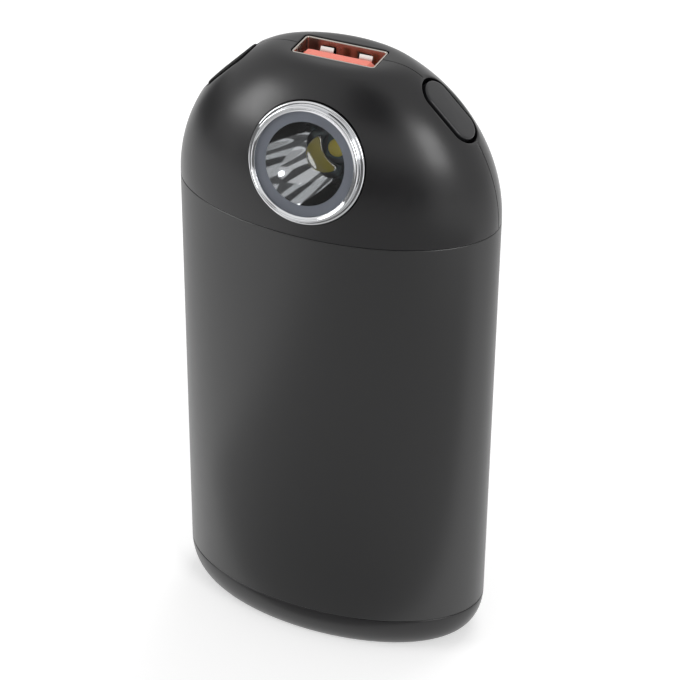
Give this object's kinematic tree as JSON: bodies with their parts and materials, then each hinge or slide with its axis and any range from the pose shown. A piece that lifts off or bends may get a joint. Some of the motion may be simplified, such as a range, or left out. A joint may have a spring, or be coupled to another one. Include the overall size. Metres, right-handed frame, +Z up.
{
  "type": "rechargeable hand warmer",
  "caption": "Oval pocket hand warmer: a heated metal sleeve round a rechargeable battery, with a torch, a power output socket, a charging socket and a push button in its domed head.",
  "frame": {"origin": "middle of the flat foot, where the object stands", "axes": "+Z up along the body, +X along the oval's long way towards the button, -Y out of the torch side"},
  "size_m": [0.0514, 0.0296, 0.1007],
  "materials": {
    "anodised_aluminium": "matt black anodised",
    "black_abs": "fine spark-eroded texture, slightly satin",
    "grey_black_abs": "satin",
    "chrome_plating": "polished",
    "clear_lens": "polished",
    "metallised_bowl": "vacuum metallised",
    "torch_nylon": "matt",
    "led_substrate": "white solder mask",
    "led_ceramic": "matt",
    "led_phosphor": "matt",
    "led_silicone": "clear",
    "nickel_shell": "nickel plated",
    "salmon_tongue": "satin",
    "black_rubber": "moulded, matt",
    "black_tongue": "satin",
    "gold_contacts": "gold flash",
    "circuit_board": "solder mask",
    "ferrite": "matt",
    "chip_epoxy": "matt",
    "capacitor_ceramic": "matt",
    "switch_shell": "matt",
    "plunger_nylon": "satin",
    "cell_wrap": "shrink film",
    "nickel_strip": "plain",
    "insulating_card": "matt",
    "grey_foam": "closed-cell foam",
    "holder_abs": "matt",
    "polyimide_film": "film",
    "thermistor_glass": "epoxy bead",
    "white_insulation": "wire insulation",
    "red_insulation": "wire insulation",
    "black_insulation": "wire insulation",
    "zinc_screw": "zinc plated"
  },
  "bodies": {
    "housing": {"body_sleeve": "anodised_aluminium", "dome_front": "black_abs", "dome_rear": "black_abs", "bottom_cap": "black_abs", "torch_bezel": "chrome_plating", "torch_lens": "clear_lens", "torch_reflector": "metallised_bowl", "torch_cup": "torch_nylon", "led_board": "led_substrate", "led_package": "led_ceramic", "led_phosphor": "led_phosphor", "led_dome": "led_silicone", "usb_a_shell": "nickel_shell", "usb_a_tongue": "salmon_tongue", "usb_a_contacts": "gold_contacts", "input_shell": "nickel_shell", "input_tongue": "black_tongue", "input_contacts": "gold_contacts", "input_board": "circuit_board", "input_cover": "black_rubber", "switch_body": "switch_shell", "main_board": "circuit_board", "inductor": "ferrite", "charger_chip": "chip_epoxy", "control_chip": "chip_epoxy", "capacitors": "capacitor_ceramic", "cell_left": "cell_wrap", "cell_right": "cell_wrap", "strip_top": "nickel_strip", "strip_bottom": "nickel_strip", "insulator_top": "insulating_card", "insulator_bottom": "insulating_card", "bottom_pad": "grey_foam", "frame_front": "holder_abs", "frame_rear": "holder_abs", "heater_front": "polyimide_film", "heater_rear": "polyimide_film", "pad_front": "grey_foam", "pad_rear": "grey_foam", "thermistor": "thermistor_glass", "thermistor_leads": "white_insulation", "heater_leads": "red_insulation", "torch_leads": "white_insulation", "lead_positive": "red_insulation", "lead_negative": "black_insulation", "head_screws": "zinc_screw", "board_screws": "zinc_screw"},
    "button": {"button_cap": "grey_black_abs", "switch_plunger": "plunger_nylon"}
  },
  "joints": [
    {"name": "button_press", "type": "slide", "parent": "housing", "child": "button", "axis": [-0.7037, 0, -0.7105], "range_m": [0, 0.0004], "stiffness_N_per_m": 5000}
  ]
}
